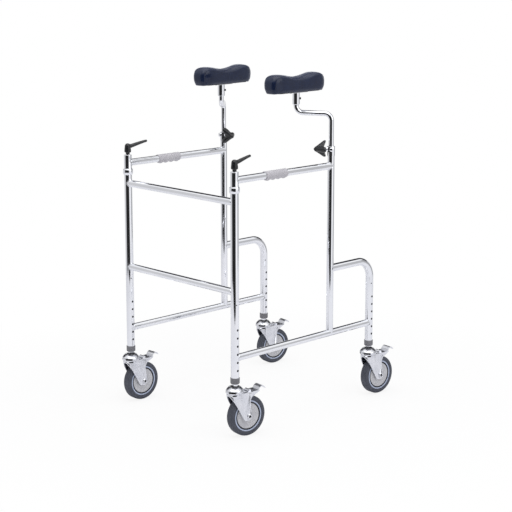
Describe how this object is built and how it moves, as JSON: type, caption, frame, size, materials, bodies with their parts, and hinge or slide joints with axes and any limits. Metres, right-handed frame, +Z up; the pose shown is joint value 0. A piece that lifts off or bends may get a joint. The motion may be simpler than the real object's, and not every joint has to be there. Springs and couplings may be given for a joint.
{
  "type": "underarm walker",
  "caption": "Wheeled underarm walker with padded underarm rests on cranked, height-adjustable arms, swinging side frames, telescopic legs and braked swivel casters.",
  "frame": {"origin": "the middle of the footprint, on the floor", "axes": "+Z up, +Y from the front crossbars towards the open rear, +X towards the user's left side"},
  "size_m": [0.5488, 0.7336, 1.0739],
  "materials": {
    "black_board": "black board, matte",
    "black_plastic": "black moulded plastic, satin",
    "chrome": "polished chrome on steel tube",
    "grey_bush": "dark grey moulded plastic, satin",
    "grey_grip": "mid grey grip, matte",
    "hub_plastic": "light grey moulded plastic with fine turned lines",
    "navy_vinyl": "dark navy leatherette, soft sheen",
    "tyre_rubber": "blue-grey soft tread, matte",
    "zinc_plate": "bright plated pressed steel"
  },
  "bodies": {
    "front_frame": {"left_hinge_tube": "chrome", "right_hinge_tube": "chrome", "upper_crossbar": "chrome", "lower_crossbar": "chrome"},
    "left_side": {"left_upper_sleeve": "chrome", "left_front_leg_tube": "chrome", "left_top_rail": "chrome", "left_hand_grip": "grey_grip", "left_arm_post": "chrome", "left_bottom_rail": "chrome", "left_rear_leg_tube": "chrome", "left_front_leg_bushing": "grey_bush", "left_rear_leg_bushing": "grey_bush"},
    "left_lever": {"left_clamp_lever": "black_plastic"},
    "left_collar": {"left_arm_collar": "chrome"},
    "left_knob": {"left_star_knob": "black_plastic"},
    "left_arm": {"left_arm_rod": "chrome"},
    "left_pad": {"left_pad_bracket": "chrome", "left_pad_board": "black_board", "left_pad_cushion": "navy_vinyl"},
    "right_side": {"right_upper_sleeve": "chrome", "right_front_leg_tube": "chrome", "right_top_rail": "chrome", "right_hand_grip": "grey_grip", "right_arm_post": "chrome", "right_bottom_rail": "chrome", "right_rear_leg_tube": "chrome", "right_front_leg_bushing": "grey_bush", "right_rear_leg_bushing": "grey_bush"},
    "right_lever": {"right_clamp_lever": "black_plastic"},
    "right_collar": {"right_arm_collar": "chrome"},
    "right_knob": {"right_star_knob": "black_plastic"},
    "right_arm": {"right_arm_rod": "chrome"},
    "right_pad": {"right_pad_bracket": "chrome", "right_pad_board": "black_board", "right_pad_cushion": "navy_vinyl"},
    "left_front_leg": {"left_front_leg_extension": "chrome"},
    "left_front_button": {"left_front_snap_button": "zinc_plate"},
    "left_front_caster": {"left_front_caster_fork": "zinc_plate"},
    "left_front_wheel": {"left_front_tyre": "tyre_rubber", "left_front_wheel_hub": "hub_plastic"},
    "left_front_pedal": {"left_front_brake_pedal": "zinc_plate"},
    "left_rear_leg": {"left_rear_leg_extension": "chrome"},
    "left_rear_button": {"left_rear_snap_button": "zinc_plate"},
    "left_rear_caster": {"left_rear_caster_fork": "zinc_plate"},
    "left_rear_wheel": {"left_rear_tyre": "tyre_rubber", "left_rear_wheel_hub": "hub_plastic"},
    "left_rear_pedal": {"left_rear_brake_pedal": "zinc_plate"},
    "right_front_leg": {"right_front_leg_extension": "chrome"},
    "right_front_button": {"right_front_snap_button": "zinc_plate"},
    "right_front_caster": {"right_front_caster_fork": "zinc_plate"},
    "right_front_wheel": {"right_front_tyre": "tyre_rubber", "right_front_wheel_hub": "hub_plastic"},
    "right_front_pedal": {"right_front_brake_pedal": "zinc_plate"},
    "right_rear_leg": {"right_rear_leg_extension": "chrome"},
    "right_rear_button": {"right_rear_snap_button": "zinc_plate"},
    "right_rear_caster": {"right_rear_caster_fork": "zinc_plate"},
    "right_rear_wheel": {"right_rear_tyre": "tyre_rubber", "right_rear_wheel_hub": "hub_plastic"},
    "right_rear_pedal": {"right_rear_brake_pedal": "zinc_plate"}
  },
  "joints": [
    {"name": "left_side_swing", "type": "hinge", "parent": "front_frame", "child": "left_side", "pos_m": [0.24295, -0.33632, 0], "axis": [0, 0, 1], "range_deg": [-25, 15]},
    {"name": "left_lever_turn", "type": "hinge", "parent": "front_frame", "child": "left_lever", "pos_m": [0.24295, -0.33632, 0.808], "axis": [0, 0, 1], "range_deg": [0, 180]},
    {"name": "left_arm_swivel", "type": "hinge", "parent": "left_side", "child": "left_collar", "pos_m": [0.24295, 0.07668, 0], "axis": [0, 0, 1], "range_deg": [-90, 90]},
    {"name": "left_knob_turn", "type": "hinge", "parent": "left_collar", "child": "left_knob", "pos_m": [0.24295, 0.07668, 0.835], "axis": [-0.7071, -0.7071, 0], "range_deg": [0, 360]},
    {"name": "left_arm_height", "type": "slide", "parent": "left_collar", "child": "left_arm", "axis": [0, 0, 1], "range_m": [-0.06, 0.19]},
    {"name": "left_pad_swivel", "type": "hinge", "parent": "left_arm", "child": "left_pad", "pos_m": [0.14003, 0.02536, 0], "axis": [0, 0, 1], "continuous": true},
    {"name": "right_side_swing", "type": "hinge", "parent": "front_frame", "child": "right_side", "pos_m": [-0.24705, -0.33632, 0], "axis": [0, 0, -1], "range_deg": [-25, 15]},
    {"name": "right_lever_turn", "type": "hinge", "parent": "front_frame", "child": "right_lever", "pos_m": [-0.24705, -0.33632, 0.808], "axis": [0, 0, -1], "range_deg": [0, 180]},
    {"name": "right_arm_swivel", "type": "hinge", "parent": "right_side", "child": "right_collar", "pos_m": [-0.24705, 0.07668, 0], "axis": [0, 0, -1], "range_deg": [-90, 90]},
    {"name": "right_knob_turn", "type": "hinge", "parent": "right_collar", "child": "right_knob", "pos_m": [-0.24705, 0.07668, 0.835], "axis": [0.9903, -0.1392, 0], "range_deg": [0, 360]},
    {"name": "right_arm_height", "type": "slide", "parent": "right_collar", "child": "right_arm", "axis": [0, 0, 1], "range_m": [-0.06, 0.19]},
    {"name": "right_pad_swivel", "type": "hinge", "parent": "right_arm", "child": "right_pad", "pos_m": [-0.16789, -0.00674, 0.0068], "axis": [0, 0, -1], "continuous": true},
    {"name": "left_front_leg_height", "type": "slide", "parent": "left_side", "child": "left_front_leg", "axis": [0, 0, -1], "range_m": [0, 0.125]},
    {"name": "left_front_button_press", "type": "slide", "parent": "left_front_leg", "child": "left_front_button", "axis": [1, 0, 0], "range_m": [0, 0.0035], "stiffness_N_per_m": 300, "springref_m": 0.0035},
    {"name": "left_front_caster_swivel", "type": "hinge", "parent": "left_front_leg", "child": "left_front_caster", "pos_m": [0.24295, -0.33632, 0], "axis": [0, 0, 1], "continuous": true},
    {"name": "left_front_wheel_spin", "type": "hinge", "parent": "left_front_caster", "child": "left_front_wheel", "pos_m": [0.24905, -0.2978, 0.0625], "axis": [0.9877, -0.1564, 0], "continuous": true},
    {"name": "left_front_pedal_press", "type": "hinge", "parent": "left_front_caster", "child": "left_front_pedal", "pos_m": [0.24911, -0.29741, 0.13], "axis": [-0.9877, 0.1564, 0], "range_deg": [0, 14]},
    {"name": "left_rear_leg_height", "type": "slide", "parent": "left_side", "child": "left_rear_leg", "axis": [0, 0, -1], "range_m": [0, 0.125]},
    {"name": "left_rear_button_press", "type": "slide", "parent": "left_rear_leg", "child": "left_rear_button", "axis": [1, 0, 0], "range_m": [0, 0.0035], "stiffness_N_per_m": 300, "springref_m": 0.0035},
    {"name": "left_rear_caster_swivel", "type": "hinge", "parent": "left_rear_leg", "child": "left_rear_caster", "pos_m": [0.24295, 0.26568, 0], "axis": [0, 0, 1], "continuous": true},
    {"name": "left_rear_wheel_spin", "type": "hinge", "parent": "left_rear_caster", "child": "left_rear_wheel", "pos_m": [0.24567, 0.30458, 0.0625], "axis": [0.9976, -0.0698, 0], "continuous": true},
    {"name": "left_rear_pedal_press", "type": "hinge", "parent": "left_rear_caster", "child": "left_rear_pedal", "pos_m": [0.2457, 0.30498, 0.13], "axis": [-0.9976, 0.0698, 0], "range_deg": [0, 14]},
    {"name": "right_front_leg_height", "type": "slide", "parent": "right_side", "child": "right_front_leg", "axis": [0, 0, -1], "range_m": [0, 0.125]},
    {"name": "right_front_button_press", "type": "slide", "parent": "right_front_leg", "child": "right_front_button", "axis": [1, 0, 0], "range_m": [0, 0.0035], "stiffness_N_per_m": 300, "springref_m": 0.0035},
    {"name": "right_front_caster_swivel", "type": "hinge", "parent": "right_front_leg", "child": "right_front_caster", "pos_m": [-0.24705, -0.33632, 0], "axis": [0, 0, 1], "continuous": true},
    {"name": "right_front_wheel_spin", "type": "hinge", "parent": "right_front_caster", "child": "right_front_wheel", "pos_m": [-0.24637, -0.29733, 0.0625], "axis": [0.9998, -0.0175, 0], "continuous": true},
    {"name": "right_front_pedal_press", "type": "hinge", "parent": "right_front_caster", "child": "right_front_pedal", "pos_m": [-0.24636, -0.29693, 0.13], "axis": [-0.9998, 0.0175, 0], "range_deg": [0, 14]},
    {"name": "right_rear_leg_height", "type": "slide", "parent": "right_side", "child": "right_rear_leg", "axis": [0, 0, -1], "range_m": [0, 0.125]},
    {"name": "right_rear_button_press", "type": "slide", "parent": "right_rear_leg", "child": "right_rear_button", "axis": [1, 0, 0], "range_m": [0, 0.0035], "stiffness_N_per_m": 300, "springref_m": 0.0035},
    {"name": "right_rear_caster_swivel", "type": "hinge", "parent": "right_rear_leg", "child": "right_rear_caster", "pos_m": [-0.24705, 0.26568, 0], "axis": [0, 0, 1], "continuous": true},
    {"name": "right_rear_wheel_spin", "type": "hinge", "parent": "right_rear_caster", "child": "right_rear_wheel", "pos_m": [-0.24162, 0.3043, 0.0625], "axis": [0.9903, -0.1392, 0], "continuous": true},
    {"name": "right_rear_pedal_press", "type": "hinge", "parent": "right_rear_caster", "child": "right_rear_pedal", "pos_m": [-0.24157, 0.30469, 0.13], "axis": [-0.9903, 0.1392, 0], "range_deg": [0, 14]}
  ]
}
